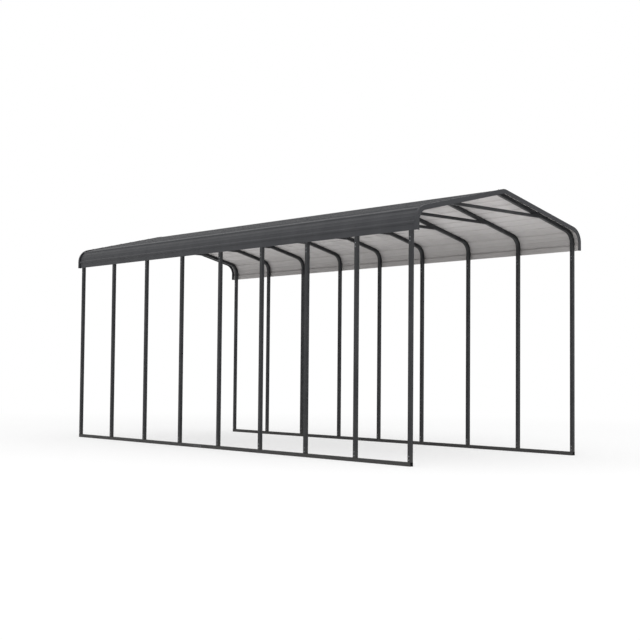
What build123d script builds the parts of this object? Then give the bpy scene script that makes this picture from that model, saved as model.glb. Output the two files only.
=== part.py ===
from build123d import *
import math
import os

# Open-sided carport: bent square-tube bows on posts and base rails, under a roof
# of ribbed sheets that wraps over rounded eaves and hangs as a short skirt.
# Lengths are in millimetres and angles in degrees. X runs across the carport,
# Y along it with the front gable at -Y, and Z up from the ground.

# Frame
BOW_COUNT = 9
BAY = 1219.0  # bow centre to bow centre
FRAME_WIDTH = 4267.0  # outside face to outside face of the posts
EAVE_HEIGHT = 4000.0  # where the bow's top line would meet the post's outside face
ROOF_PITCH_DEG = 13.5

# Square tube of the posts, bows and base rails
TUBE = 63.5
TUBE_WALL = 2.0
TUBE_CORNER = 3.5  # bevel of the outside corners

# Bows
EAVE_BEND = 260.0  # radius of the elbow's outside
RIDGE_BEND = 220.0  # radius of the peak's outside
BOW_LEG = 200.0  # straight leg from the elbow down to the post
SPIGOT_LENGTH = 150.0  # swaged end that slips into the post
SPIGOT_CLEARANCE = 0.5  # each side, inside the post

# Peak braces
BRACE_TUBE = 50.8
BRACE_WALL = 2.0
BRACE_CORNER = 3.0
BRACE_LENGTH = 2350.0  # tip to tip of the mitred ends

# Base rails
ANCHOR_HOLE = 14.0  # diameter
ANCHOR_OFFSET = 150.0  # from the centre of the post beside it
ANCHOR_POSTS = (1, 3, 5, 7, 9)  # posts counted from the front

# Roof sheets
SHEET = 1.0  # thickness
SEAT_GAP = 0.3  # between pieces that lie on each other
ROOF_OVERHANG = 152.0  # sheet end past the centre of the end bow
SKIRT_DROP = 340.0  # from the eave corner to the sheet's lower edge
RIBS_PER_SLOPE = 10
RIDGE_SHEET_RIB_COUNT = 3  # on each slope, the last one lapping the middle sheet
MIDDLE_SHEET_RIB_COUNT = 5  # from the ridge sheet's lap to its own lap over the eave sheet
RIB_HEIGHT = 19.0
RIB_FOOT = 62.0
RIB_CROWN = 24.0
STIFFENER_HEIGHT = 3.0  # low ribs in the flat between two tall ones
STIFFENER_FOOT = 24.0
STIFFENER_CROWN = 12.0
STIFFENERS_PER_PAN = 2
LAP_LIP = 14.0  # flat edge of a sheet beside its last rib

# Gable trims
TRIM = 1.2  # thickness
TRIM_FACE = 75.0
TRIM_FLANGE = 50.0

pitch = math.radians(ROOF_PITCH_DEG)
eave_turn = math.pi / 2 - pitch
half_width = FRAME_WIDTH / 2
post_x = half_width - TUBE / 2
bow_span = BAY * (BOW_COUNT - 1)
bow_places = [BAY * i - bow_span / 2 for i in range(BOW_COUNT)]
post_top = EAVE_HEIGHT - EAVE_BEND * math.tan(eave_turn / 2) - BOW_LEG
roof_length = bow_span + 2 * ROOF_OVERHANG
bore = TUBE - 2 * TUBE_WALL
ridge_lap = RIDGE_SHEET_RIB_COUNT - 1
eave_lap = ridge_lap + MIDDLE_SHEET_RIB_COUNT - 1


def roof_corners(inset):
    """Half width at the eave, eave height and ridge height of the bow's top line moved in by inset."""
    half = half_width - inset
    ridge = EAVE_HEIGHT + half_width * math.tan(pitch) - inset / math.cos(pitch)
    return half, ridge - half * math.tan(pitch), ridge


def tube(size, wall, corner, length):
    """Hollow square tube standing on the origin."""
    outside = chamfer(Rectangle(size, size).vertices(), corner)
    return extrude(outside - Rectangle(size - 2 * wall, size - 2 * wall), amount=length)


# Bows: one tube bent at both eaves and at the ridge


def bow_line(inset, foot):
    """Line along the bow, inset from its outside face, with its bends."""
    half, eave, ridge = roof_corners(inset)
    corners = [(-half, 0, foot), (-half, 0, eave), (0, 0, ridge), (half, 0, eave), (half, 0, foot)]
    bends = [EAVE_BEND - inset, RIDGE_BEND - inset, EAVE_BEND - inset]
    return FilletPolyline(*corners, radius=bends)


def bow_block(inset, foot):
    """Solid between the bow's outside and inside faces, both moved in by inset."""
    outside = bow_line(inset, foot)
    inside = bow_line(TUBE - inset, foot)
    ends = [Line(outside @ 0, inside @ 0), Line(outside @ 1, inside @ 1)]
    return extrude(make_face(outside.edges() + inside.edges() + ends), amount=TUBE / 2 - inset, both=True)


def roof_bow():
    """Bent tube with a swaged spigot under each leg."""
    bow = bow_block(0, post_top) - bow_block(TUBE_WALL, post_top - SPIGOT_LENGTH)
    spigot_size = bore - 2 * SPIGOT_CLEARANCE
    spigot = Pos(0, 0, -SPIGOT_LENGTH) * Box(
        spigot_size, spigot_size, SPIGOT_LENGTH + TUBE_WALL, align=(Align.CENTER, Align.CENTER, Align.MIN)
    )
    shoulder = Box(
        TUBE - TUBE_WALL, TUBE - TUBE_WALL, TUBE_WALL, align=(Align.CENTER, Align.CENTER, Align.MIN)
    )
    passage_size = spigot_size - 2 * TUBE_WALL
    passage = Pos(0, 0, -SPIGOT_LENGTH) * Box(
        passage_size, passage_size, SPIGOT_LENGTH + TUBE_WALL, align=(Align.CENTER, Align.CENTER, Align.MIN)
    )
    swage = spigot + shoulder - passage
    return bow + Pos(-post_x, 0, post_top) * swage + Pos(post_x, 0, post_top) * swage


def peak_brace():
    """Level tube whose ends are cut to lie against the underside of the bow."""
    _, _, ridge = roof_corners(TUBE)
    tip = BRACE_LENGTH / 2
    low = ridge - tip * math.tan(pitch)
    high = low + BRACE_TUBE
    inner_tip = (ridge - high) / math.tan(pitch)
    side = Polyline((-tip, 0, low), (tip, 0, low), (inner_tip, 0, high), (-inner_tip, 0, high), close=True)
    blank = tube(BRACE_TUBE, BRACE_WALL, BRACE_CORNER, BRACE_LENGTH)
    level = Pos(-tip, 0, low + BRACE_TUBE / 2) * Rot(Y=90) * blank
    return level & extrude(make_face(side.edges()), amount=BRACE_TUBE, both=True)


# Base rails: two lengths a side, butted in the bay behind the middle post

rail_joint = BAY / 2
rail_end = bow_span / 2 + TUBE / 2


def base_rail(x, start, end):
    """Rail along Y with the anchor holes that fall within it."""
    rail = Pos(x, start, TUBE / 2) * Rot(X=-90) * tube(TUBE, TUBE_WALL, TUBE_CORNER, end - start)
    for post in ANCHOR_POSTS:
        place = bow_places[post - 1]
        hole = place + (ANCHOR_OFFSET if place <= 0 else -ANCHOR_OFFSET)
        if start < hole < end:
            rail -= Pos(x, hole, TUBE / 2) * Cylinder(ANCHOR_HOLE / 2, 2 * TUBE)
    return rail


# Roof sheets: places on the roof are given by s, the way along the top of the
# bow from the ridge, and h, the height above it

ridge_radius = RIDGE_BEND + SEAT_GAP
eave_radius = EAVE_BEND + SEAT_GAP
seat_half, seat_eave, seat_ridge = roof_corners(-SEAT_GAP)
ridge_centre = seat_ridge - ridge_radius / math.cos(pitch)
eave_centre_x = seat_half - eave_radius
eave_centre_z = seat_eave - eave_radius * math.tan(eave_turn / 2)
bends_on_slope = ridge_radius * math.tan(pitch) + eave_radius * math.tan(eave_turn / 2)
slope_length = seat_half / math.cos(pitch) - bends_on_slope
slope_start = ridge_radius * pitch
slope_end = slope_start + slope_length
skirt_start = slope_end + eave_radius * eave_turn
sheet_end = skirt_start + eave_centre_z - (EAVE_HEIGHT - SKIRT_DROP)
rib_pitch = sheet_end / RIBS_PER_SLOPE
lap_lift = SHEET + SEAT_GAP


def roof_point(s, h):
    """Point in the XZ plane at the way s from the ridge, h above the bow."""
    side = -1 if s < 0 else 1
    s = abs(s)
    if s <= slope_start:
        angle = s / ridge_radius
        x, z = math.sin(angle) * (ridge_radius + h), ridge_centre + math.cos(angle) * (ridge_radius + h)
    elif s <= slope_end:
        out, run = ridge_radius + h, s - slope_start
        x = math.sin(pitch) * out + math.cos(pitch) * run
        z = ridge_centre + math.cos(pitch) * out - math.sin(pitch) * run
    elif s <= skirt_start:
        angle = pitch + (s - slope_end) / eave_radius
        x = eave_centre_x + math.sin(angle) * (eave_radius + h)
        z = eave_centre_z + math.cos(angle) * (eave_radius + h)
    else:
        x, z = eave_centre_x + eave_radius + h, eave_centre_z - (s - skirt_start)
    return Vector(side * x, 0, z)


def roof_edges(places):
    """Edges through places given as (s, h): level stretches follow the bends as arcs."""
    edges = []
    bends = [-skirt_start, -slope_end, -slope_start, slope_start, slope_end, skirt_start]
    for (s0, h0), (s1, h1) in zip(places, places[1:]):
        cuts = [s for s in bends if min(s0, s1) < s < max(s0, s1)] if h0 == h1 else []
        stops = [s0] + sorted(cuts, reverse=s1 < s0) + [s1]
        for a, b in zip(stops, stops[1:]):
            middle = (a + b) / 2
            curved = abs(middle) < slope_start or slope_end < abs(middle) < skirt_start
            if curved and h0 == h1:
                edges.append(ThreePointArc(roof_point(a, h0), roof_point(middle, h0), roof_point(b, h0)))
            else:
                edges.append(Line(roof_point(a, h0), roof_point(b, h1)))
    return edges


def roof_strip(places, thickness, length):
    """Solid strip of the given thickness along places, centred on Y."""
    top = [(s, h + thickness) for s, h in places]
    ends = [Line(roof_point(*places[i]), roof_point(*top[i])) for i in (0, -1)]
    return extrude(make_face(roof_edges(places) + roof_edges(top) + ends), amount=length / 2, both=True)


def rib(centre, foot, crown, height, lift):
    """Places over one rib."""
    return [
        (centre - foot / 2, lift),
        (centre - crown / 2, lift + height),
        (centre + crown / 2, lift + height),
        (centre + foot / 2, lift),
    ]


def pan(start, end):
    """Places over the low stiffeners between two ribs."""
    places = []
    for i in range(STIFFENERS_PER_PAN):
        centre = start + (end - start) * (i + 1) / (STIFFENERS_PER_PAN + 1)
        places += rib(centre, STIFFENER_FOOT, STIFFENER_CROWN, STIFFENER_HEIGHT, 0)
    return places


def sheet_run(first, last, lapped):
    """Places from rib first to rib last, with the last rib lifted over the next sheet where lapped."""
    places = []
    for i in range(first, last + 1):
        centre = (i + 1 / 2) * rib_pitch
        over = lapped and i == last
        if over:
            step = centre - RIB_FOOT / 2 - 2 * LAP_LIP
            places += [(step, 0), (step + LAP_LIP / 2, lap_lift)]
        places += rib(centre, RIB_FOOT, RIB_CROWN, RIB_HEIGHT, lap_lift if over else 0)
        if over:
            places.append((centre + RIB_FOOT / 2 + LAP_LIP, lap_lift))
        elif i < last:
            places += pan(centre + RIB_FOOT / 2, centre + rib_pitch - RIB_FOOT / 2)
    return places


def sheet_start(first):
    """Upper edge of the sheet that starts under rib first."""
    return [((first + 1 / 2) * rib_pitch - RIB_FOOT / 2 - LAP_LIP, 0)]


def ridge_sheet():
    """Sheet bent over the ridge."""
    half = sheet_run(0, ridge_lap, True)
    other = [(-s, h) for s, h in reversed(half)]
    return roof_strip(other + half, SHEET, roof_length)


def middle_sheet():
    """Sheet on the slope of the right side."""
    places = sheet_start(ridge_lap) + sheet_run(ridge_lap, eave_lap, True)
    return roof_strip(places, SHEET, roof_length)


def eave_sheet():
    """Sheet that wraps over the right eave and ends as the skirt."""
    places = sheet_start(eave_lap) + sheet_run(eave_lap, RIBS_PER_SLOPE - 1, False)
    return roof_strip(places + [(sheet_end, 0)], SHEET, roof_length)


# Gable trims: an angle that follows the sheet's end from the ridge to the skirt


def gable_trim():
    """Trim of the right half of the back gable."""
    seat = lap_lift + RIB_HEIGHT + SHEET + SEAT_GAP
    end = roof_length / 2 + SEAT_GAP
    flange = roof_strip([(0, seat), (sheet_end, seat)], TRIM, TRIM_FLANGE)
    face_low = seat + TRIM - TRIM_FACE
    face = roof_strip([(0, face_low), (sheet_end, face_low)], TRIM_FACE, TRIM)
    return Pos(0, end + TRIM - TRIM_FLANGE / 2, 0) * flange + Pos(0, end + TRIM / 2, 0) * face


# Assembly

parts = {}
bow_shape = roof_bow()
brace_shape = peak_brace()
post_shape = Pos(0, 0, TUBE) * tube(TUBE, TUBE_WALL, TUBE_CORNER, post_top - TUBE)
for number, place in enumerate(bow_places, start=1):
    parts[f"left_post_{number}"] = Pos(-post_x, place, 0) * post_shape
    parts[f"right_post_{number}"] = Pos(post_x, place, 0) * post_shape
    parts[f"roof_bow_{number}"] = Pos(0, place, 0) * bow_shape
parts["peak_braces"] = Compound(children=[Pos(0, place, 0) * brace_shape for place in bow_places])

for side, x in (("left", -post_x), ("right", post_x)):
    parts[f"base_rail_{side}_front"] = base_rail(x, -rail_end, rail_joint)
    parts[f"base_rail_{side}_back"] = base_rail(x, rail_joint, rail_end)

parts["ridge_sheet"] = ridge_sheet()
right_half = {"middle_sheet": middle_sheet(), "eave_sheet": eave_sheet(), "gable_trim_back": gable_trim()}
right_half["gable_trim_front"] = mirror(right_half["gable_trim_back"], about=Plane.XZ)
for name, shape in right_half.items():
    parts[f"{name}_right"] = shape
    parts[f"{name}_left"] = mirror(shape, about=Plane.YZ)

os.makedirs("parts", exist_ok=True)
for name, shape in parts.items():
    export_step(shape, f"parts/{name}.step")
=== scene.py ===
import logging
import math
from contextlib import contextmanager
from dataclasses import dataclass
from enum import Enum
from typing import Callable, Iterator

import bmesh
import bpy
from mathutils import Matrix, Vector


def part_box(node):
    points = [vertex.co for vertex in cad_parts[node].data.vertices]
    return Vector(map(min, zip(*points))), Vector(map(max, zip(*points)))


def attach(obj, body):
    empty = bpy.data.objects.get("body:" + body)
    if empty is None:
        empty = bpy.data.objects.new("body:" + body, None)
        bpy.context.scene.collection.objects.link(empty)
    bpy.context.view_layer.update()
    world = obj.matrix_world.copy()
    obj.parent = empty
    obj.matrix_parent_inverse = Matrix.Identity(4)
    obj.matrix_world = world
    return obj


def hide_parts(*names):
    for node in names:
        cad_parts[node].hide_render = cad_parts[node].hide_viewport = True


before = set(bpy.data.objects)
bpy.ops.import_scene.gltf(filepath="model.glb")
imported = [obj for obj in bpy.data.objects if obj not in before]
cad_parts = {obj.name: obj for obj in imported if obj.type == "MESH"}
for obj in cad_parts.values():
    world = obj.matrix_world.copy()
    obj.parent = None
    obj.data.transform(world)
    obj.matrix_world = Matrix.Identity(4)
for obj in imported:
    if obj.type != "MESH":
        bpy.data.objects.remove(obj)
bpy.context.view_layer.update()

# An open-sided steel carport: painted tube frame, ribbed roof sheets, gable trims
# and their screws. Lengths are in metres in the part's own frame: X across,
# Y along from the front gable to the back, Z up from the ground.

LOG = logging.getLogger("carport")
BODY = "root"
BOW_COUNT = 9
SEAT_GAP = 0.0003  # between the bows and the roof sheets on them
PLATE_WASHER = 0.0004  # height of the washer under a joint screw
MERGE_GAP = 0.0001  # points nearer than this at a mirrored seam become one
ALIGNED = 0.99  # cosine above which two directions count as the same
ALONG = Vector((0, 1, 0))
UP = Vector((0, 0, 1))
ACROSS_X = Vector((-1, 1, 1))  # scale that swaps left and right
ACROSS_Y = Vector((1, -1, 1))  # scale that swaps front and back

Triple = tuple[float, float, float]  # a colour, a place, or a scale by axis
Pair = tuple[float, float]
Fold = tuple[float, float]  # way from the ridge, and height above the roof's line
Row = tuple[Vector, float, float, int]  # foot of the first screw, lean, spacing and count
Element = bmesh.types.BMVert | bmesh.types.BMEdge | bmesh.types.BMFace
Test = Callable[[Element], bool]
Piece = bpy.types.Object
Material = bpy.types.Material
Socket = bpy.types.NodeSocket


class Spoken(Enum):
    """An option whose word goes into the names of pieces and solids."""

    @property
    def word(self) -> str:
        """The option in small letters."""
        return self.name.lower()


class Side(Spoken):
    """The two long sides, with the sign of their X."""

    LEFT = -1
    RIGHT = 1


class Gable(Spoken):
    """The two ends of the carport, with the sign of their Y."""

    FRONT = -1
    BACK = 1


class Pick(Enum):
    """Kinds of mesh element that can be selected."""

    VERT = "verts"
    EDGE = "edges"
    FACE = "faces"


# Modelling by hand: small steps on the active piece


def select_only(*pieces: Piece) -> None:
    """Selects some pieces and nothing else.

    Args:
        pieces: the pieces, of which the first becomes the active one.
    """
    bpy.ops.object.select_all(action="DESELECT")
    for piece in pieces:
        piece.select_set(True)
    bpy.context.view_layer.objects.active = pieces[0]


@contextmanager
def editing(piece: Piece) -> Iterator[None]:
    """Holds one piece, alone, in edit mode.

    Args:
        piece: the piece to edit.
    """
    select_only(piece)
    bpy.ops.object.mode_set(mode="EDIT")
    yield
    bpy.ops.object.mode_set(mode="OBJECT")


def pick(piece: Piece, kind: Pick, test: Test) -> None:
    """Selects the elements of the edited piece that pass a test, and nothing else.

    Args:
        piece: the piece in edit mode.
        kind: which kind of element.
        test: says whether an element is wanted.
    """
    bpy.ops.mesh.select_mode(type=kind.name)
    bpy.ops.mesh.select_all(action="DESELECT")
    mesh = bmesh.from_edit_mesh(piece.data)
    for element in getattr(mesh, kind.value):
        if test(element):
            element.select_set(True)
    mesh.select_flush_mode()
    bmesh.update_edit_mesh(piece.data)


def pick_all() -> None:
    """Selects all of the edited piece, by its edges."""
    bpy.ops.mesh.select_mode(type="EDGE")
    bpy.ops.mesh.select_all(action="SELECT")


def extrude(move: Vector) -> None:
    """Extrudes the selection by a move."""
    bpy.ops.mesh.extrude_region_move(TRANSFORM_OT_translate={"value": tuple(move)})


def spin(angle: float, centre: Vector, steps: int) -> None:
    """Extrudes the selection round a line along Y, by a turn from up towards +X in radians."""
    bpy.ops.mesh.spin(steps=steps, dupli=False, angle=-angle, center=tuple(centre), axis=(0, 1, 0))


def bevel(width: float, steps: int, corners: bool = False) -> None:
    """Rounds the selected edges, or the selected corners, over a width."""
    bpy.ops.mesh.bevel(offset=width, segments=steps, affect="VERTICES" if corners else "EDGES")


def soften_rim(piece: Piece, test: Test, width: float, steps: int) -> None:
    """Rounds the edges round the faces that pass a test.

    Args:
        piece: the piece in edit mode.
        test: says whether a face is wanted.
        width: how far the rounding reaches.
        steps: faces across it.
    """
    pick(piece, Pick.FACE, test)
    bpy.ops.mesh.region_to_loop()
    bevel(width, steps)


def soften_folds(piece: Piece, angle: float, width: float, steps: int) -> None:
    """Rounds the folds of a sheet, and turns its faces up.

    Args:
        piece: the sheet in edit mode.
        angle: an edge that turns more than this is a fold, in radians.
        width: how far the rounding reaches.
        steps: faces across it.
    """
    pick(piece, Pick.EDGE, lambda e: len(e.link_faces) == 2 and e.calc_face_angle(0) > angle)
    bevel(width, steps)
    pick_all()
    mesh = bmesh.from_edit_mesh(piece.data)
    mesh.normal_update()
    if sum(face.normal.z * face.calc_area() for face in mesh.faces) < 0:
        bpy.ops.mesh.flip_normals()


def settle(piece: Piece, name: str) -> Piece:
    """Names a piece and moves its place into its mesh.

    Args:
        piece: the piece.
        name: its name.

    Returns:
        The same piece.
    """
    select_only(piece)
    bpy.ops.object.transform_apply(location=True, rotation=True, scale=True)
    piece.name = name
    piece.data.name = name
    return piece


def started(add: Callable[..., set[str]], name: str, **settings: object) -> Piece:
    """Adds a primitive, to be shaped further.

    Args:
        add: Blender's operator for it.
        name: name of the new piece.
        settings: the operator's own values.

    Returns:
        The new piece.
    """
    bpy.ops.object.select_all(action="DESELECT")
    add(**settings)
    return settle(bpy.context.object, name)


def start_block(low: Vector, high: Vector, name: str) -> Piece:
    """A block between its lowest and highest corners."""
    middle = (low + high) / 2
    return started(bpy.ops.mesh.primitive_cube_add, name, size=1, location=middle, scale=high - low)


def start_edge(place: Vector, length: float, name: str) -> Piece:
    """One edge along Y, to be extruded: a flat square with its far side taken off.

    Args:
        place: middle of the edge.
        length: its length.
        name: name of the new piece.

    Returns:
        The new piece.
    """
    middle = place + Vector((length / 2, 0, 0))
    piece = started(bpy.ops.mesh.primitive_plane_add, name, size=length, location=middle)
    with editing(piece):
        pick(piece, Pick.VERT, lambda v: v.co.x > middle.x)
        bpy.ops.mesh.delete(type="VERT")
        pick_all()
    return piece


def apply_modifier(piece: Piece, kind: str, **settings: object) -> None:
    """Adds a modifier to a piece and applies it.

    Args:
        piece: the piece.
        kind: Blender's name for the modifier.
        settings: the modifier's own values.
    """
    select_only(piece)
    modifier = piece.modifiers.new(kind.lower(), kind)
    for name, value in settings.items():
        setattr(modifier, name, value)
    bpy.ops.object.modifier_apply(modifier=modifier.name)


def copied(piece: Piece, name: str, move: Vector) -> Piece:
    """A copy with its own mesh, moved.

    Args:
        piece: what to copy.
        name: name of the copy.
        move: how far the copy is moved.

    Returns:
        The copy.
    """
    select_only(piece)
    bpy.ops.object.duplicate(linked=False)
    bpy.ops.transform.translate(value=tuple(move))
    return settle(bpy.context.object, name)


def mirrored(piece: Piece, name: str, across: Vector) -> Piece:
    """A mirror image with its own mesh.

    Args:
        piece: what to mirror.
        name: name of the image.
        across: scale of each axis, -1 on the one that is turned round.

    Returns:
        The image.
    """
    image = copied(piece, name, Vector())
    with editing(image):
        pick_all()
        bpy.ops.transform.resize(value=tuple(across), center_override=(0, 0, 0))
        bpy.ops.mesh.flip_normals()
    return image


def joined(pieces: list[Piece], name: str) -> Piece:
    """Several pieces joined into one mesh.

    Args:
        pieces: what to join.
        name: name of the result.

    Returns:
        The joined piece.
    """
    select_only(*pieces)
    bpy.ops.object.join()
    return settle(bpy.context.object, name)


def smooth(piece: Piece, sharp_deg: float) -> None:
    """Shades a piece smooth but for its sharp edges, with its broad faces kept flat.

    Args:
        piece: the piece.
        sharp_deg: edges that turn more than this stay sharp.
    """
    select_only(piece)
    bpy.ops.object.shade_smooth_by_angle(angle=math.radians(sharp_deg))
    apply_modifier(piece, "WEIGHTED_NORMAL", keep_sharp=True)


def paint(piece: Piece, *materials: Material) -> None:
    """Gives a piece its materials.

    Args:
        piece: the piece.
        materials: the materials, one to a slot.
    """
    piece.data.materials.clear()
    for material in materials:
        piece.data.materials.append(material)


def fit(piece: Piece, slot: str, *nodes: str) -> None:
    """Fastens a finished piece to the frame and reports it.

    Args:
        piece: the finished piece.
        slot: the record's material slot; not used.
        nodes: the solids that it stands for.
    """
    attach(piece, BODY)
    if nodes:
        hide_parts(*nodes)
    LOG.info("%s: %d faces", piece.name, len(piece.data.polygons))


# Finishes


class ShaderSketch:
    """Nodes and links of one material or world, around its shader."""

    def __init__(self, owner: Material | bpy.types.World) -> None:
        """Starts the nodes.

        Args:
            owner: the material or world.
        """
        owner.use_nodes = True
        self.tree = owner.node_tree
        self.shader = self.tree.nodes.get("Principled BSDF") or self.tree.nodes["Background"]
        self.coordinates = self.node("TexCoord").outputs

    def feed(self, socket: Socket, value: object) -> None:
        """Links an input to a socket, or sets its value.

        Args:
            socket: the input.
            value: the socket or value that it gets.
        """
        if isinstance(value, Socket):
            self.tree.links.new(value, socket)
        else:
            socket.default_value = value

    def set(self, node: bpy.types.Node, **inputs: object) -> None:
        """Sets or links inputs of a node, by their names with _ for a space."""
        for name, value in inputs.items():
            self.feed(node.inputs[name.replace("_", " ")], value)

    def node(self, kind: str, **inputs: object) -> bpy.types.Node:
        """Adds a node.

        Args:
            kind: type of the node, without its ShaderNode prefix.
            inputs: values or sockets of its inputs.

        Returns:
            The node.
        """
        node = self.tree.nodes.new("ShaderNode" + kind)
        self.set(node, **inputs)
        return node

    def reckoned(self, operation: str, first: Socket, second: Socket) -> Socket:
        """Works out a number from two others.

        Args:
            operation: Blender's name for the sum.
            first: the first number.
            second: the second number.

        Returns:
            The result.
        """
        node = self.node("Math")
        node.operation = operation
        self.feed(node.inputs[0], first)
        self.feed(node.inputs[1], second)
        return node.outputs["Value"]

    def seen_share(self) -> Socket:
        """1 on rays that show the backdrop: from the camera, or by way of metal or glass.

        Returns:
            The share.
        """
        path = self.node("LightPath").outputs
        seen = self.reckoned("MAXIMUM", path["Is Camera Ray"], path["Is Glossy Ray"])
        return self.reckoned("MAXIMUM", seen, path["Is Transmission Ray"])

    def upward(self, coordinates: str = "Object") -> Socket:
        """Z of the coordinates: on a piece, the height above the ground."""
        return self.node("SeparateXYZ", Vector=self.coordinates[coordinates]).outputs["Z"]

    def noise(self, scale: float, detail: float = 4, stretch: Triple = (1, 1, 1)) -> Socket:
        """Noise from 0 to 1, by its blotches to the metre, its octaves and its closeness by axis."""
        place = self.node("Mapping", Vector=self.coordinates["Object"], Scale=stretch).outputs["Vector"]
        return self.node("TexNoise", Vector=place, Scale=scale, Detail=detail).outputs["Fac"]

    def spread(self, value: Socket, low: float, high: float, to_low: float, to_high: float) -> Socket:
        """Stretches part of a value's range smoothly over another range.

        Args:
            value: what is read.
            low: where the range starts.
            high: where it ends.
            to_low: result at the start.
            to_high: result at the end.

        Returns:
            The result.
        """
        node = self.node("MapRange", Value=value, From_Min=low, From_Max=high)
        self.set(node, To_Min=to_low, To_Max=to_high)
        node.interpolation_type = "SMOOTHSTEP"
        return node.outputs["Result"]

    def mixed(self, share: Socket, first: Triple | Socket, second: Triple) -> Socket:
        """Mixes two colours.

        Args:
            share: share of the second colour.
            first: the first colour, or a socket that gives it.
            second: the second colour.

        Returns:
            The mixed colour.
        """
        node = self.node("Mix")
        node.data_type = "RGBA"
        colors = [socket for socket in node.inputs if socket.type == "RGBA"]
        self.set(node, Factor=share)
        self.feed(colors[0], first if isinstance(first, Socket) else (*first, 1))
        self.feed(colors[1], (*second, 1))
        return next(socket for socket in node.outputs if socket.type == "RGBA")

    def bump(self, value: Socket, strength: float, depth: float) -> None:
        """Bumps the shader's normal, on top of the bumps that it has.

        Args:
            value: height of the bumps.
            strength: their strength.
            depth: their depth.
        """
        node = self.node("Bump", Height=value, Strength=strength, Distance=depth)
        for link in self.shader.inputs["Normal"].links:
            self.set(node, Normal=link.from_socket)
        self.set(self.shader, Normal=node.outputs["Normal"])


@dataclass(frozen=True)
class Finish:
    """A coat in two colours, with uneven gloss and a fine grain, and on some pieces a colour towards one
    height: dust on the tubes, painted shade on the roof's backer.
    """

    name: str
    main: Triple  # colour of most of the coat
    other: Triple  # colour of its patches
    patch_scale: float  # patches to the metre
    gloss_scale: float  # blotches of gloss to the metre
    roughness: Pair  # least and most
    grain_scale: float  # grains to the metre
    grain: Pair  # strength and depth
    patch_detail: float = 4  # octaves
    patch_stretch: Triple = (1, 1, 1)  # how much closer the patches lie along each axis
    patch_range: Pair = (0.35, 0.65)  # noise at which a patch starts, and is full
    gloss_range: Pair = (0.3, 0.7)  # noise at which the coat is smoothest, and roughest
    shine: float = 0.5  # strength of the reflection
    metallic: float = 0  # 1 for bare metal
    grain_detail: float = 2
    buckle: Pair = (0, 0)  # strength and depth of the broad buckles of thin sheet
    buckle_scale: float = 1.6
    buckle_detail: float = 1
    buckle_stretch: Triple = (3, 0.8, 3)
    dust: Triple = (0, 0, 0)  # colour of the dust, and on the backer the colour of the painted shade
    dust_heights: Pair = (0, 1)  # where the dust (on the backer, the painted shade) is thickest, and where it ends
    dust_share: float = 0  # how much of it hides the coat where it is thickest
    speck_scale: float = 0  # specks of dust to the metre
    speck_range: Pair = (0.3, 0.7)  # noise at which the specks are thinnest, and thickest
    speck_least: float = 0.25  # share of the dust where they are thinnest

    def material(self) -> Material:
        """Makes the material.

        Returns:
            The material.
        """
        material = bpy.data.materials.new(self.name)
        sketch = ShaderSketch(material)
        patches = sketch.noise(self.patch_scale, self.patch_detail, self.patch_stretch)
        color = sketch.mixed(sketch.spread(patches, *self.patch_range, 0, 1), self.main, self.other)
        # Dust towards one height on the tubes; on the backer coat this band is painted shade, darkening it
        # towards the eaves.
        if self.dust_share:
            share = sketch.spread(sketch.upward(), *self.dust_heights, self.dust_share, 0)
            if self.speck_scale:
                noise = sketch.noise(self.speck_scale)
                specks = sketch.spread(noise, *self.speck_range, self.speck_least, 1)
                share = sketch.reckoned("MULTIPLY", share, specks)
            color = sketch.mixed(share, color, self.dust)
        rough = sketch.spread(sketch.noise(self.gloss_scale), *self.gloss_range, *self.roughness)
        sketch.set(sketch.shader, Base_Color=color, Roughness=rough)
        sketch.set(sketch.shader, Specular_IOR_Level=self.shine, Metallic=self.metallic)
        if any(self.buckle):
            buckles = sketch.noise(self.buckle_scale, self.buckle_detail, self.buckle_stretch)
            sketch.bump(buckles, *self.buckle)
        sketch.bump(sketch.noise(self.grain_scale, self.grain_detail), *self.grain)
        return material


@dataclass(frozen=True)
class TubePaint(Finish):
    """Satin powder coat on the frame's tube, scuffed in patches and dusty towards the ground."""

    name: str = "tube_paint"
    main: Triple = (0.023, 0.024, 0.026)
    other: Triple = (0.030, 0.031, 0.033)
    patch_scale: float = 2.3
    patch_detail: float = 5
    gloss_scale: float = 9
    roughness: Pair = (0.42, 0.56)
    shine: float = 0.22
    grain_scale: float = 420
    grain: Pair = (0.12, 0.0006)
    dust: Triple = (0.075, 0.071, 0.065)
    dust_heights: Pair = (0, 0.30)
    dust_share: float = 0.6
    speck_scale: float = 170


@dataclass(frozen=True)
class SheetPaint(Finish):
    """Coil coat outside the roof sheets and on the trims, chalked in faint streaks down the slope."""

    name: str = "sheet_paint"
    main: Triple = (0.034, 0.035, 0.039)
    other: Triple = (0.041, 0.042, 0.046)
    patch_scale: float = 1.4
    patch_detail: float = 3
    patch_stretch: Triple = (0.5, 3, 0.5)
    patch_range: Pair = (0.3, 0.75)
    gloss_scale: float = 14
    roughness: Pair = (0.43, 0.47)
    shine: float = 0.22
    grain_scale: float = 300
    grain: Pair = (0.06, 0.0004)
    buckle: Pair = (0.07, 0.006)


@dataclass(frozen=True)
class BackerCoat(Finish):
    """Pale primer inside the roof sheets, faintly stained, and darkened towards the eaves by painted
    shade.
    """

    name: str = "backer_coat"
    main: Triple = (0.60, 0.578, 0.572)
    other: Triple = (0.49, 0.472, 0.467)
    patch_scale: float = 1.3
    patch_detail: float = 5
    patch_stretch: Triple = (1.2, 2.2, 1.2)
    patch_range: Pair = (0.42, 0.72)
    gloss_scale: float = 6
    roughness: Pair = (0.45, 0.6)
    grain_scale: float = 260
    grain: Pair = (0.05, 0.0004)
    buckle: Pair = (0.07, 0.006)
    # Painted shade: the coat darkens from 4.5 m down to 3.75 m and below, towards the eaves.
    dust: Triple = (0.385, 0.372, 0.366)
    dust_heights: Pair = (3.75, 4.5)
    dust_share: float = 0.9


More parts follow.
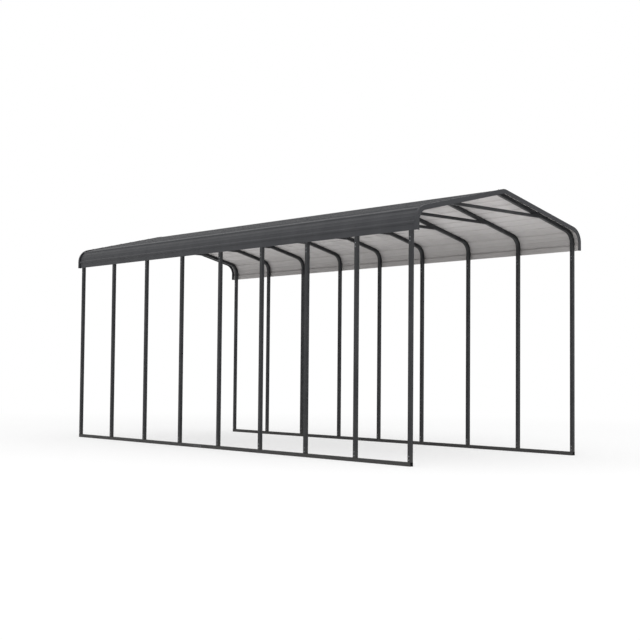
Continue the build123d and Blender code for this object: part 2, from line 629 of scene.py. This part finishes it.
@dataclass(frozen=True)
class ZincPlate(Finish):
    """Bright zinc on the frame's screws, tarnished in patches."""

    name: str = "zinc_plate"
    main: Triple = (0.50, 0.51, 0.53)
    other: Triple = (0.30, 0.31, 0.33)
    patch_scale: float = 160
    gloss_scale: float = 160
    roughness: Pair = (0.3, 0.5)
    metallic: float = 1
    grain_scale: float = 900
    grain: Pair = (0.1, 0.0002)


@dataclass(frozen=True)
class SealRubber(Finish):
    """Black sealing washers under the roof's screws, with a grey bloom."""

    name: str = "seal_rubber"
    main: Triple = (0.012, 0.012, 0.013)
    other: Triple = (0.035, 0.035, 0.035)
    patch_scale: float = 240
    patch_range: Pair = (0.4, 0.7)
    gloss_scale: float = 240
    roughness: Pair = (0.6, 0.8)
    grain_scale: float = 800
    grain: Pair = (0.15, 0.0003)


# The roof's line, which the bows, sheets and trims follow


@dataclass(frozen=True)
class RoofLine:
    """Cross-section of the roof: ridge bend, slope, eave bend and drop.

    A place on it is given by its way from the ridge and its height above the line.
    """

    half_width: float  # from the middle of the carport to the line's drop
    apex: float  # height of the line at the ridge
    pitch: float = math.radians(13.5)
    ridge_bend: float = 0.220  # radius at the ridge
    eave_bend: float = 0.260  # radius at the eave

    def raised(self, gap: float) -> "RoofLine":
        """The line moved out by a gap."""
        bends = (self.ridge_bend + gap, self.eave_bend + gap)
        return RoofLine(self.half_width + gap, self.apex + gap, self.pitch, *bends)

    @property
    def eave_turn(self) -> float:
        """Turn of the eave bend."""
        return math.pi / 2 - self.pitch

    @property
    def slope_run(self) -> float:
        """Length of the straight slope."""
        bends = self.ridge_bend * math.tan(self.pitch) + self.eave_bend * math.tan(self.eave_turn / 2)
        return self.half_width / math.cos(self.pitch) - bends

    @property
    def slope_start(self) -> float:
        """Way at which the slope starts."""
        return self.ridge_bend * self.pitch

    @property
    def slope_end(self) -> float:
        """Way at which the eave bend starts."""
        return self.slope_start + self.slope_run

    @property
    def drop_start(self) -> float:
        """Way at which the drop below the eave starts."""
        return self.slope_end + self.eave_bend * self.eave_turn

    @property
    def downhill(self) -> Vector:
        """Direction down the right slope."""
        return Vector((math.cos(self.pitch), 0, -math.sin(self.pitch)))

    @property
    def ridge_centre(self) -> Vector:
        """Centre of the ridge bend."""
        return UP * (self.apex - self.ridge_bend)

    @property
    def eave_centre(self) -> Vector:
        """Centre of the right eave bend."""
        step = self.outward(self.pitch) * (self.ridge_bend - self.eave_bend)
        return self.ridge_centre + step + self.downhill * self.slope_run

    @staticmethod
    def outward(heading: float) -> Vector:
        """Direction away from the line, heading radians from up."""
        return Vector((math.sin(heading), 0, math.cos(heading)))

    def heading(self, way: float) -> float:
        """How far the line's outside has turned from up, at a way from the ridge."""
        eave_part = min(max(way - self.slope_end, 0) / self.eave_bend, self.eave_turn)
        return min(way / self.ridge_bend, self.pitch) + eave_part

    def bends_at(self, way: float) -> bool:
        """Says whether the line is curved there."""
        return way < self.slope_start or self.slope_end < way < self.drop_start

    def point(self, way: float, height: float = 0) -> Vector:
        """Point on the right half, or on the left half for a negative way.

        Args:
            way: way from the ridge.
            height: height above the line.

        Returns:
            The point, in the XZ plane.
        """
        if way < 0:
            return self.point(-way, height) * ACROSS_X
        out = self.outward(self.heading(way))
        if way < self.slope_end:
            run = max(way - self.slope_start, 0)
            return self.ridge_centre + out * (self.ridge_bend + height) + self.downhill * run
        fall = max(way - self.drop_start, 0)
        return self.eave_centre + out * (self.eave_bend + height) - UP * fall

    def sweep_half(self, fall: float, ridge_steps: int, eave_steps: int) -> None:
        """Extrudes the selection, which lies in the plane of the ridge, along the right half.

        Args:
            fall: length of the drop below the eave.
            ridge_steps: stretches in half of the ridge bend.
            eave_steps: stretches in the eave bend.
        """
        spin(self.pitch, self.ridge_centre, ridge_steps)
        extrude(self.downhill * self.slope_run)
        spin(self.eave_turn, self.eave_centre, eave_steps)
        extrude(UP * -fall)


# The frame


@dataclass
class TubeFrame:
    """Posts, bows, peak braces and base rails of rounded square tube."""

    line: RoofLine  # top line of the bows
    places: list[float]  # Y of each bow
    finish: Material
    corner: float = 0.006  # outside corner radius
    corner_steps: int = 4
    wall: float = 0.002
    end_break: float = 0.0012  # softened edge of a cut end
    end_steps: int = 2
    ridge_steps: int = 4
    elbow_steps: int = 18
    anchor_radius: float = 0.007  # of the anchor holes in the base rails
    anchor_sides: int = 24
    anchor_offset: float = 0.150  # from an anchor hole to the post beside it
    anchor_posts: tuple[int, ...] = (1, 3, 5, 7, 9)  # posts with an anchor hole, from the front
    rail_depth: float = 0.25  # how deep the open ends of the rails are shown
    sharp_deg: float = 30

    def build(self) -> None:
        """Builds all of the frame."""
        self.build_posts()
        self.build_bows()
        self.build_braces()
        self.build_rails()

    def tube_block(self, name: str, node: str, along: Vector) -> Piece:
        """A straight tube with rounded long edges and softened ends.

        Args:
            name: name of the new piece.
            node: the solid whose box it fills.
            along: direction that the tube runs in.

        Returns:
            The new piece.
        """
        piece = start_block(*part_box(node), name)
        with editing(piece):
            pick(
                piece,
                Pick.EDGE,
                lambda e: abs((e.verts[1].co - e.verts[0].co).normalized().dot(along)) > ALIGNED,
            )
            bevel(self.corner, self.corner_steps)
            soften_rim(piece, lambda f: abs(f.normal.dot(along)) > ALIGNED, self.end_break, self.end_steps)
        return piece

    def dress(self, piece: Piece, node: str) -> None:
        """Paints a tube and puts it in the place of its solid.

        Args:
            piece: the tube.
            node: the solid.
        """
        paint(piece, self.finish)
        smooth(piece, self.sharp_deg)
        fit(piece, "frame_tube", node)

    def build_posts(self) -> None:
        """One post, copied to every place on both sides."""
        first = self.tube_block("post_left_1", "left_post_1", UP)
        left_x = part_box("left_post_1")[0].x
        for side in Side:
            for number, place in enumerate(self.places, start=1):
                node = f"{side.word}_post_{number}"
                name = f"post_{side.word}_{number}"
                move = Vector((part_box(node)[0].x - left_x, place - self.places[0], 0))
                self.dress(first if name == first.name else copied(first, name, move), node)

    def build_bows(self) -> None:
        """One bow, swept from the ridge to its foot, mirrored and copied."""
        low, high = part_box("left_post_1")
        tube, foot = high.x - low.x, high.z
        near_foot = foot + self.end_break
        bow = started(
            bpy.ops.mesh.primitive_plane_add,
            "bow_pattern",
            size=tube,
            location=(0, 0, self.line.apex - tube / 2),
            rotation=(0, math.pi / 2, 0),
        )
        with editing(bow):
            pick_all()
            bevel(self.corner, self.corner_steps, corners=True)
            pick_all()
            bpy.ops.mesh.delete(type="ONLY_FACE")
            pick_all()
            self.line.sweep_half(self.line.eave_centre.z - foot, self.ridge_steps, self.elbow_steps)
            pick(bow, Pick.EDGE, lambda e: all(v.co.z < near_foot for v in e.verts))
            bpy.ops.mesh.edge_face_add()
            soften_rim(bow, lambda f: f.calc_center_median().z < near_foot, self.end_break, self.end_steps)
        apply_modifier(bow, "MIRROR", use_axis=(True, False, False), merge_threshold=MERGE_GAP)
        with editing(bow):
            pick_all()
            bpy.ops.mesh.normals_make_consistent(inside=False)
        for number, place in enumerate(self.places, start=1):
            self.dress(copied(bow, f"bow_{number}", ALONG * place), f"roof_bow_{number}")
        bpy.data.objects.remove(bow)

    def build_braces(self) -> None:
        """One brace with ends cut to the slope, copied into every bow."""
        low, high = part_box("peak_braces")
        tube = high.z - low.z
        first = self.places[0]
        near = Vector((low.x, first - tube / 2, low.z))
        far = Vector((high.x, first + tube / 2, high.z))
        brace = start_block(near, far, "brace_pattern")
        with editing(brace):
            pick(brace, Pick.EDGE, lambda e: abs(e.verts[1].co.x - e.verts[0].co.x) > tube)
            bevel(self.corner, self.corner_steps)
            for side in Side:
                pick_all()
                normal = self.line.outward(self.line.pitch) * Vector((side.value, 1, 1))
                tip = Vector((high.x * side.value, 0, low.z))
                bpy.ops.mesh.bisect(plane_co=tip, plane_no=normal, use_fill=True, clear_outer=True)
        braces = [copied(brace, "brace", ALONG * (place - first)) for place in self.places]
        bpy.data.objects.remove(brace)
        self.dress(joined(braces, "peak_brace_tubes"), "peak_braces")

    def build_rails(self) -> None:
        """Rails with open ends and anchor holes."""
        for side in Side:
            for gable in Gable:
                node = f"base_rail_{side.word}_{gable.word}"
                rail = self.tube_block(f"rail_{side.word}_{gable.word}", node, ALONG)
                with editing(rail):
                    for end in Gable:
                        pick(rail, Pick.FACE, lambda f: f.normal.y * end.value > ALIGNED)
                        bpy.ops.mesh.inset(thickness=self.wall - self.end_break, depth=0)
                        extrude(ALONG * -end.value * self.rail_depth)
                self.bore_anchors(rail, *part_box(node))
                self.dress(rail, node)

    def bore_anchors(self, rail: Piece, low: Vector, high: Vector) -> None:
        """Bores the anchor holes that fall within a rail, each beside its post towards the middle.

        Args:
            rail: the rail.
            low: lowest corner of the rail.
            high: highest corner of the rail.
        """
        for number in self.anchor_posts:
            place = self.places[number - 1]
            hole = place + math.copysign(self.anchor_offset, self.anchor_offset - place)
            if not low.y < hole < high.y:
                continue
            drill = started(
                bpy.ops.mesh.primitive_cylinder_add,
                "drill",
                vertices=self.anchor_sides,
                radius=self.anchor_radius,
                depth=2 * high.z,
                location=((low.x + high.x) / 2, hole, high.z / 2),
            )
            apply_modifier(rail, "BOOLEAN", object=drill, operation="DIFFERENCE", solver="EXACT")
            bpy.data.objects.remove(drill)


# The roof


@dataclass
class RibbedSheets:
    """Roof sheets with tall ribs along the length and low stiffeners between them."""

    line: RoofLine  # line that the sheets lie on
    length: float
    end: float  # way of the skirt's lower edge from the ridge
    outside: Material
    inside: Material
    thickness: float = 0.0008
    lift: float = 0.0013  # height of a lapping sheet above the one under it
    ribs: int = 10  # on each half of the roof
    ridge_lap: int = 2  # rib where the ridge sheet laps the middle one, counted from 0
    eave_lap: int = 6  # rib where the middle sheet laps the eave one
    rib_height: float = 0.019
    rib_foot: float = 0.062  # width at the foot
    rib_crown: float = 0.024  # width at the top
    stiffeners: int = 2  # between two ribs
    stiffener_height: float = 0.003
    stiffener_foot: float = 0.024
    stiffener_crown: float = 0.012
    lip: float = 0.014  # flat edge beside a sheet's last rib
    fold_angle: float = 0.2  # an edge that turns more than this, in radians, is a fold
    fold_width: float = 0.0035  # how far the rounding of a fold reaches
    fold_steps: int = 2
    bend_step: float = 0.012  # longest stretch in a bend of the roof
    sharp_deg: float = 25

    @property
    def pitch(self) -> float:
        """Way from rib to rib."""
        return self.end / self.ribs

    def rib_way(self, number: int) -> float:
        """Way of a rib's middle from the ridge."""
        return (number + 0.5) * self.pitch

    @staticmethod
    def hump(middle: float, foot: float, crown: float, height: float, lift: float) -> list[Fold]:
        """Folds of one rib or stiffener.

        Args:
            middle: way of its middle.
            foot: width at the foot.
            crown: width at the top.
            height: height of the top above the foot.
            lift: height of the foot.

        Returns:
            The four folds.
        """
        return [
            (middle - foot / 2, lift),
            (middle - crown / 2, lift + height),
            (middle + crown / 2, lift + height),
            (middle + foot / 2, lift),
        ]

    def pan(self, number: int) -> list[Fold]:
        """Folds of the stiffeners between a rib and the next.

        Args:
            number: the rib, counted from 0 at the ridge.

        Returns:
            The folds.
        """
        start = self.rib_way(number) + self.rib_foot / 2
        width = self.pitch - self.rib_foot
        folds: list[Fold] = []
        for i in range(self.stiffeners):
            middle = start + width * (i + 1) / (self.stiffeners + 1)
            folds += self.hump(middle, self.stiffener_foot, self.stiffener_crown, self.stiffener_height, 0)
        return folds

    def run(self, first: int, last: int, lapped: bool) -> list[Fold]:
        """Folds from one rib to another.

        Args:
            first: first rib.
            last: last rib.
            lapped: the last rib lies over the next sheet.

        Returns:
            The folds.
        """
        folds: list[Fold] = []
        for number in range(first, last + 1):
            middle = self.rib_way(number)
            over = lapped and number == last
            lift = self.lift if over else 0
            if over:
                step = middle - self.rib_foot / 2 - 2 * self.lip
                folds += [(step, 0), (step + self.lip / 2, lift)]
            folds += self.hump(middle, self.rib_foot, self.rib_crown, self.rib_height, lift)
            if over:
                folds.append((middle + self.rib_foot / 2 + self.lip, lift))
            elif number < last:
                folds += self.pan(number)
        return folds

    def upper_edge(self, number: int) -> list[Fold]:
        """Upper edge of the sheet that starts under a rib."""
        return [(self.rib_way(number) - self.rib_foot / 2 - self.lip, 0)]

    def traced(self, folds: list[Fold]) -> list[Vector]:
        """Points through the folds, with level stretches following the bends.

        Args:
            folds: the folds of a sheet.

        Returns:
            The points, from the first fold to the last.
        """
        points = [self.line.point(*folds[0])]
        for (way, height), (next_way, next_height) in zip(folds, folds[1:]):
            steps = 1
            stops = (way, (way + next_way) / 2, next_way)
            if height == next_height and any(self.line.bends_at(abs(stop)) for stop in stops):
                steps = max(2, math.ceil((next_way - way) / self.bend_step))
            for i in range(1, steps + 1):
                share = i / steps
                stop = way + (next_way - way) * share
                points.append(self.line.point(stop, height + (next_height - height) * share))
        return points

    def sheet(self, name: str, folds: list[Fold]) -> Piece:
        """Folds a sheet out of one edge, gives it its thickness and two coats.

        Args:
            name: name of the piece.
            folds: its folds.

        Returns:
            The sheet.
        """
        points = self.traced(folds)
        piece = start_edge(points[0], self.length, name)
        with editing(piece):
            for point, next_point in zip(points, points[1:]):
                extrude(next_point - point)
            soften_folds(piece, self.fold_angle, self.fold_width, self.fold_steps)
        apply_modifier(piece, "SOLIDIFY", thickness=self.thickness, offset=1)
        paint(piece, self.outside, self.inside)
        core = UP * self.line.eave_centre.z / 2
        with editing(piece):
            pick(
                piece,
                Pick.FACE,
                lambda f: f.normal.dot((f.calc_center_median() - core) * Vector((1, 0, 1))) < 0,
            )
            piece.active_material_index = 1
            bpy.ops.object.material_slot_assign()
        return piece

    def build(self) -> None:
        """Builds the ridge sheet, and the middle and eave sheets of both sides."""
        half = self.run(0, self.ridge_lap, True)
        other = [(-way, height) for way, height in reversed(half)]
        sheets = {"ridge_sheet": self.sheet("sheet_ridge", other + half)}
        middle = self.upper_edge(self.ridge_lap) + self.run(self.ridge_lap, self.eave_lap, True)
        eave = self.upper_edge(self.eave_lap) + self.run(self.eave_lap, self.ribs - 1, False)
        for kind, folds in (("middle", middle), ("eave", eave + [(self.end, 0)])):
            right = self.sheet(f"sheet_{kind}_right", folds)
            sheets[f"{kind}_sheet_right"] = right
            sheets[f"{kind}_sheet_left"] = mirrored(right, f"sheet_{kind}_left", ACROSS_X)
        for node, piece in sheets.items():
            smooth(piece, self.sharp_deg)
            fit(piece, "roof_sheet", node)


@dataclass
class GableTrims:
    """Folded angles that cover the sheet ends, with a hem along the lower edge."""

    line: RoofLine  # line of the flange's underside
    fall: float  # length of a trim below the eave bend
    finish: Material
    thickness: float = 0.0012
    face: float = 0.075  # height of the face over the sheet ends
    flange: float = 0.050  # width of the flange on the ribs
    hem: float = 0.010  # depth of the folded hem
    fold_angle: float = 0.7  # an edge that turns more than this, in radians, is a fold
    fold_width: float = 0.0025  # how far the rounding of a fold reaches
    fold_steps: int = 3
    ridge_steps: int = 6
    eave_steps: int = 24
    sharp_deg: float = 35

    def build(self) -> None:
        """Builds the trim of both halves of both gables."""
        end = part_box("gable_trim_back_right")[1].y - self.thickness
        middle = Vector((0, end - self.flange / 2, self.line.apex))
        trim = start_edge(middle, self.flange, "trim_back_right")
        with editing(trim):
            pick(trim, Pick.VERT, lambda v: v.co.y > end - self.thickness)
            extrude(UP * (self.thickness - self.face))
            extrude(ALONG * -self.hem)
            extrude(UP * self.hem / 2)
            pick_all()
            self.line.sweep_half(self.fall, self.ridge_steps, self.eave_steps)
            soften_folds(trim, self.fold_angle, self.fold_width, self.fold_steps)
        apply_modifier(trim, "SOLIDIFY", thickness=self.thickness, offset=1)
        paint(trim, self.finish)
        trims = {(Gable.BACK, Side.RIGHT): trim}
        trims[(Gable.BACK, Side.LEFT)] = mirrored(trim, "trim_back_left", ACROSS_X)
        for side in Side:
            back = trims[(Gable.BACK, side)]
            trims[(Gable.FRONT, side)] = mirrored(back, f"trim_front_{side.word}", ACROSS_Y)
        for (gable, side), piece in trims.items():
            smooth(piece, self.sharp_deg)
            fit(piece, "trim", f"gable_trim_{gable.word}_{side.word}")


# Screws


@dataclass
class HexScrews:
    """Self-drilling screws with a hexagon head on a flange and a washer."""

    head: Material  # of the head and its flange
    seal: Material  # of the washer
    across: float = 0.008  # width of the head across its flats
    head_sides: int = 6
    head_height: float = 0.0045
    flange: float = 0.0068  # radius
    flange_height: float = 0.0012
    washer: float = 0.0080  # radius
    washer_height: float = 0.0022
    sides: int = 10  # faces round the flange and the washer
    break_width: float = 0.0006  # most that the upper edges are softened by
    break_steps: int = 1
    sharp_deg: float = 40

    def one(self) -> Piece:
        """One screw standing on the origin, on +Z.

        Returns:
            The screw.
        """
        head_foot = self.washer_height + self.flange_height
        layers = (
            (self.head_sides, self.across / math.sqrt(3), head_foot, self.head_height, self.head),
            (self.sides, self.flange, self.washer_height, self.flange_height, self.head),
            (self.sides, self.washer, 0, self.washer_height, self.seal),
        )
        parts = []
        for sides, radius, foot, height, finish in layers:
            part = started(
                bpy.ops.mesh.primitive_cylinder_add,
                "layer",
                vertices=sides,
                radius=radius,
                depth=height,
                location=(0, 0, foot + height / 2),
            )
            width = min(self.break_width, height / 3)
            with editing(part):
                soften_rim(part, lambda f: f.normal.z > ALIGNED, width, self.break_steps)
            paint(part, finish)
            parts.append(part)
        return joined(parts, "screw_pattern")

    def row(self, screw: Piece, foot: Vector, heading: float, spacing: float, count: int) -> Piece:
        """A row of screws along Y.

        Args:
            screw: the screw to copy.
            foot: foot of the first screw.
            heading: how far the screws lean from up towards +X, in radians.
            spacing: from screw to screw.
            count: how many.

        Returns:
            The row.
        """
        row = copied(screw, "row", Vector())
        apply_modifier(
            row,
            "ARRAY",
            count=count,
            use_relative_offset=False,
            use_constant_offset=True,
            constant_offset_displace=(0, spacing, 0),
        )
        with editing(row):
            pick_all()
            bpy.ops.transform.rotate(value=-heading, orient_axis="Y", center_override=(0, 0, 0))
            bpy.ops.transform.translate(value=tuple(foot))
        smooth(row, self.sharp_deg)
        return row

    def lay(self, name: str, slot: str, rows: list[Row]) -> None:
        """Lays rows of screws and fits them as one piece.

        Args:
            name: name of the piece.
            slot: the record's material slot, passed to fit, which does not use it.
            rows: the rows.
        """
        screw = self.one()
        fit(joined([self.row(screw, *row) for row in rows], name), slot)
        bpy.data.objects.remove(screw)


@dataclass
class Fasteners:
    """Every visible screw of the carport, in rows along its length."""

    places: list[float]  # Y of each bow
    sheets: RibbedSheets
    roof_screws: HexScrews
    joint_screws: HexScrews
    beside_rib: float = 0.018  # from a rib's foot to the screws beside it
    trim_edge: float = 0.028  # from the outer face of a gable trim to its screws
    joint_offsets: Pair = (0.035, 0.095)  # from the end of a post or rail to its screws
    brace_offsets: Pair = (0.060, 0.130)  # from the tip of a brace to its screws

    def build(self) -> None:
        """Builds the roof's screws and the frame's."""
        for build_rows in (self.build_roof_rows, self.build_trim_rows, self.build_post_rows):
            for side in Side:
                build_rows(side)
        self.build_brace_rows()
        self.build_splice_rows()

    def bow_row(self, x: float, z: float, heading: float) -> Row:
        """A row with a screw in every bow."""
        return Vector((x, self.places[0], z)), heading, self.places[1] - self.places[0], BOW_COUNT

    def build_roof_rows(self, side: Side) -> None:
        """A row beside each rib, through the sheet into the bows, and stitches between bows in the laps.

        Args:
            side: side of the roof.
        """
        rows: list[Row] = []
        line = self.sheets.line
        for number in range(self.sheets.ribs):
            way = self.sheets.rib_way(number)
            seat = self.sheets.thickness
            lapped = number in (self.sheets.ridge_lap, self.sheets.eave_lap)
            if lapped:
                seat += self.sheets.rib_height + self.sheets.lift
            else:
                way -= self.sheets.rib_foot / 2 + self.beside_rib
            point = line.point(way, seat)
            rows.append(self.bow_row(point.x * side.value, point.z, line.heading(way) * side.value))
            if lapped:
                foot, heading, spacing, count = rows[-1]
                rows.append((foot + ALONG * spacing / 2, heading, spacing, count - 1))
        self.roof_screws.lay(f"roof_screws_{side.word}", "roof_sheet", rows)

    def build_trim_rows(self, side: Side) -> None:
        """A screw on every rib crown through the flange of both gable trims.

        Args:
            side: side of the roof.
        """
        low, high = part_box("gable_trim_front_left")[0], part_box("gable_trim_back_right")[1]
        rows: list[Row] = []
        for number in range(self.sheets.ribs):
            way = self.sheets.rib_way(number)
            point = self.sheets.line.point(way, high.z - self.sheets.line.apex)
            foot = Vector((point.x * side.value, low.y + self.trim_edge, point.z))
            heading = self.sheets.line.heading(way) * side.value
            rows.append((foot, heading, high.y - low.y - 2 * self.trim_edge, len(Gable)))
        self.roof_screws.lay(f"trim_screws_{side.word}", "trim", rows)

    def build_post_rows(self, side: Side) -> None:
        """Two screws through each end of each post, outside and inside.

        Args:
            side: side of the carport.
        """
        low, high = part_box(f"{side.word}_post_1")
        rows = [
            self.bow_row(face, z, sign * math.pi / 2)
            for offset in self.joint_offsets
            for z in (low.z + offset, high.z - offset)
            for face, sign in ((low.x, -1), (high.x, 1))
        ]
        self.joint_screws.lay(f"joint_screws_{side.word}", "frame_tube", rows)

    def build_brace_rows(self) -> None:
        """Two screws up through each end of each peak brace."""
        low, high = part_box("peak_braces")
        rows = [
            self.bow_row((high.x - offset) * side.value, low.z, math.pi)
            for side in Side
            for offset in self.brace_offsets
        ]
        self.joint_screws.lay("brace_screws", "frame_tube", rows)

    def build_splice_rows(self) -> None:
        """Screws on both sides of the butt joint of the base rails."""
        rows: list[Row] = []
        for side in Side:
            low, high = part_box(f"base_rail_{side.word}_front")
            for face, sign in ((low.x, -1), (high.x, 1)):
                for offset in self.joint_offsets:
                    foot = Vector((face, high.y - offset, high.z / 2))
                    rows.append((foot, sign * math.pi / 2, 2 * offset, 2))
        self.joint_screws.lay("rail_splice_screws", "frame_tube", rows)


# Floor, light and camera


@dataclass
class Studio:
    """A pale floor that runs out to white, soft light, and the photograph's view."""

    eye: Triple = (-15.3340, -17.3606, 1.4423)
    yaw: float = 0.7368  # turn to the right of straight down the carport, in radians
    tilt: float = 0.0446  # upward, in radians
    roll: float = 0.0089  # in radians
    focal: float = 1169.66  # focal length in pixels of the picture
    picture: float = 640  # width of the picture in pixels
    sensor: float = 36  # width of the camera's sensor, in millimetres
    floor_size: float = 400
    floor_color: Triple = (0.82, 0.82, 0.82)
    floor_roughness: float = 0.9
    floor_shine: float = 0.1
    near: float = 9  # where the floor starts to run out to white
    far: float = 20  # where it is all white
    near_white: float = 0.5  # share of plain white that is seen near the carport
    horizon: float = 0.12  # light of the sky low down
    zenith: float = 1.60  # light of the sky overhead
    key_power: float = 1700  # in watts
    key_size: float = 12
    key_place: Triple = (-14, -16, 16)
    key_aim: Triple = (0, 0, 2)

    def build(self) -> None:
        """Builds all of the studio."""
        self.build_floor()
        self.build_world()
        self.build_lamp()
        self.build_camera()

    def build_floor(self) -> None:
        """A pale floor that takes the shadow near the carport and is plain white far off."""
        floor = started(bpy.ops.mesh.primitive_plane_add, "floor", size=self.floor_size)
        material = bpy.data.materials.new("floor_white")
        sketch = ShaderSketch(material)
        distance = sketch.node("VectorMath")
        distance.operation = "LENGTH"
        sketch.feed(distance.inputs[0], sketch.coordinates["Object"])
        away = sketch.spread(distance.outputs["Value"], self.near, self.far, self.near_white, 1)
        sketch.set(sketch.shader, Base_Color=(*self.floor_color, 1))
        sketch.set(sketch.shader, Roughness=self.floor_roughness, Specular_IOR_Level=self.floor_shine)
        fade = sketch.node("MixShader", Fac=sketch.reckoned("MULTIPLY", away, sketch.seen_share()))
        sketch.feed(fade.inputs[1], sketch.shader.outputs["BSDF"])
        sketch.feed(fade.inputs[2], sketch.node("Emission").outputs["Emission"])
        sketch.set(sketch.tree.nodes["Material Output"], Surface=fade.outputs["Shader"])
        paint(floor, material)

    def build_world(self) -> None:
        """White where it is seen, and elsewhere a soft light that grows from the horizon up."""
        world = bpy.data.worlds.new("studio_sky")
        sketch = ShaderSketch(world)
        height = sketch.upward("Generated")
        sky = sketch.node("MapRange", Value=height, To_Min=self.horizon, To_Max=self.zenith)
        level = sketch.node("MapRange", Value=sketch.seen_share(), To_Min=sky.outputs["Result"], To_Max=1)
        sketch.set(sketch.shader, Color=(1, 1, 1, 1), Strength=level.outputs["Result"])
        bpy.context.scene.world = world

    def build_lamp(self) -> None:
        """A large soft key light from the front left, high up."""
        lamp = bpy.data.lights.new("key", "AREA")
        lamp.energy = self.key_power
        lamp.size = self.key_size
        key = bpy.data.objects.new("key", lamp)
        key.location = self.key_place
        aim = Vector(self.key_aim) - key.location
        key.rotation_euler = aim.to_track_quat("-Z", "Y").to_euler()
        bpy.context.scene.collection.objects.link(key)

    def build_camera(self) -> None:
        """The photograph's view."""
        place = Matrix.Translation(self.eye)
        for turn, axis in ((-self.yaw, "Z"), (math.pi / 2 + self.tilt, "X"), (self.roll, "Z")):
            place = place @ Matrix.Rotation(turn, 4, axis)
        lens = bpy.data.cameras.new("photo_view")
        lens.sensor_width = self.sensor
        lens.lens = self.sensor * self.focal / self.picture
        camera = bpy.data.objects.new("photo_view", lens)
        camera.matrix_world = place
        bpy.context.scene.collection.objects.link(camera)
        bpy.context.scene.camera = camera


def main() -> None:
    """Builds the carport piece by piece, and the studio round it."""
    logging.basicConfig(level=logging.INFO, format="%(name)s %(message)s")
    bpy.context.scene.view_settings.view_transform = "Standard"
    finishes = (TubePaint(), SheetPaint(), BackerCoat(), ZincPlate(), SealRubber())
    tube_paint, sheet_paint, backer, zinc, rubber = (finish.material() for finish in finishes)

    bow_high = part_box("roof_bow_1")[1]
    line = RoofLine(bow_high.x, bow_high.z)
    posts = [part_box(f"left_post_{number}") for number in range(1, BOW_COUNT + 1)]
    places = [(low.y + high.y) / 2 for low, high in posts]
    TubeFrame(line, places, tube_paint).build()

    seat = line.raised(SEAT_GAP)
    sheet_low, sheet_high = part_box("eave_sheet_right")
    skirt = seat.eave_centre.z - sheet_low.z
    length = sheet_high.y - sheet_low.y
    sheets = RibbedSheets(seat, length, seat.drop_start + skirt, sheet_paint, backer)
    sheets.build()

    trim_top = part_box("gable_trim_back_right")[1].z
    trim_line = line.raised(trim_top - line.apex - GableTrims.thickness)
    GableTrims(trim_line, skirt, sheet_paint).build()

    roof_screws = HexScrews(sheet_paint, rubber)
    joint_screws = HexScrews(zinc, zinc, washer_height=PLATE_WASHER)
    Fasteners(places, sheets, roof_screws, joint_screws).build()
    Studio().build()

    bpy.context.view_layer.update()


if __name__ == "__main__":
    main()
